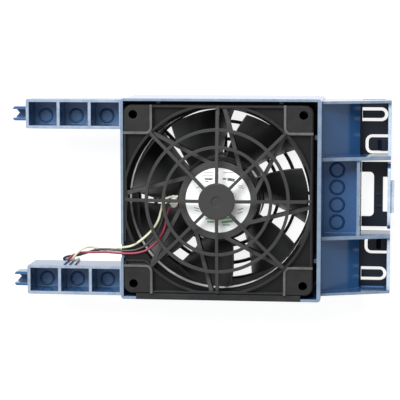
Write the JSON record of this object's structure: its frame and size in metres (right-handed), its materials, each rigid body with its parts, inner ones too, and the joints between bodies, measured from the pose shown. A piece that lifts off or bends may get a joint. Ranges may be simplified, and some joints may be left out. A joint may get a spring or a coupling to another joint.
{
  "type": "server fan module",
  "caption": "Plug-in cooling fan in a blue plastic carrier with two pocketed arms, locating pegs, finger guard, wires and a sprung release latch.",
  "frame": {"origin": "the fan's axis where it meets the module's back plane, at the centre of the rear grille", "axes": "+X from the locating pegs to the release latch, +Y towards the upper arm, +Z out of the back, along the fan's axis to the finger guard"},
  "size_m": [0.1867, 0.098, 0.0475],
  "materials": {
    "blue_plastic": "fine-grained moulded blue plastic, slightly satin",
    "dark_plate": "near-black satin plastic",
    "black_plastic": "black moulded plastic with a fine grain",
    "guard_plastic": "black moulded plastic, satin",
    "rubber": "soft black rubber",
    "label_paper": "bare white label film",
    "steel": "ground steel",
    "lamination": "stacked steel laminations",
    "magnet": "dark bonded ferrite",
    "brass": "turned brass",
    "copper": "enamelled copper winding",
    "board": "green circuit board",
    "chip": "moulded black chip",
    "aluminium": "drawn aluminium can",
    "white_plastic": "off-white nylon",
    "wire_red": "crimson wire insulation",
    "wire_black": "black wire insulation",
    "wire_cream": "cream wire insulation"
  },
  "bodies": {
    "carrier": {"fan_bay": "blue_plastic", "upper_arm": "blue_plastic", "lower_arm": "blue_plastic", "latch_tray": "blue_plastic", "end_plate": "dark_plate", "rear_grille": "black_plastic", "edge_gasket": "rubber", "fan_housing": "black_plastic", "strut_spider": "black_plastic", "hub_label": "label_paper", "finger_guard": "guard_plastic", "bearing_outer_rings": "steel", "bearing_tube": "brass", "stator_core": "lamination", "front_insulator": "white_plastic", "rear_insulator": "white_plastic", "stator_coils": "copper", "circuit_board": "board", "driver_chip": "chip", "hall_sensor": "chip", "capacitors": "aluminium", "wire_grommet": "rubber", "connector_housing": "white_plastic", "connector_contacts": "brass", "connector_cradle": "blue_plastic", "wire_red": "wire_red", "wire_black": "wire_black", "wire_cream": "wire_cream"},
    "rotor": {"impeller": "black_plastic", "rotor_yoke": "steel", "ring_magnet": "magnet", "shaft_bush": "brass", "rotor_shaft": "steel", "preload_spring": "steel", "retaining_clip": "steel", "bearing_inner_rings": "steel"},
    "ball_cages": {"ball_cages": "steel"},
    "end_latch": {"end_latch": "dark_plate"},
    "upper_snap_finger": {"upper_snap_finger": "dark_plate"},
    "lower_snap_finger": {"lower_snap_finger": "dark_plate"}
  },
  "joints": [
    {"name": "rotor_spin", "type": "hinge", "parent": "carrier", "child": "rotor", "pos_m": [0, 0, 0.02], "axis": [0, 0, 1], "continuous": true},
    {"name": "cage_orbit", "type": "hinge", "parent": "carrier", "child": "ball_cages", "pos_m": [0, 0, 0.02], "axis": [0, 0, 1], "continuous": true},
    {"name": "latch_flex", "type": "hinge", "parent": "carrier", "child": "end_latch", "pos_m": [0.06925, 0, 0.002], "axis": [0, -1, 0], "range_deg": [-3, 8], "stiffness_Nm_per_rad": 0.4},
    {"name": "upper_snap_flex", "type": "hinge", "parent": "carrier", "child": "upper_snap_finger", "pos_m": [0.06945, 0.03995, 0.002], "axis": [0, -1, 0], "range_deg": [-3, 5], "stiffness_Nm_per_rad": 0.1},
    {"name": "lower_snap_flex", "type": "hinge", "parent": "carrier", "child": "lower_snap_finger", "pos_m": [0.06945, -0.03995, 0.002], "axis": [0, -1, 0], "range_deg": [-3, 5], "stiffness_Nm_per_rad": 0.1}
  ],
  "couplings": [
    {"joint": "cage_orbit", "follows": "rotor_spin", "ratio": 0.41}
  ]
}
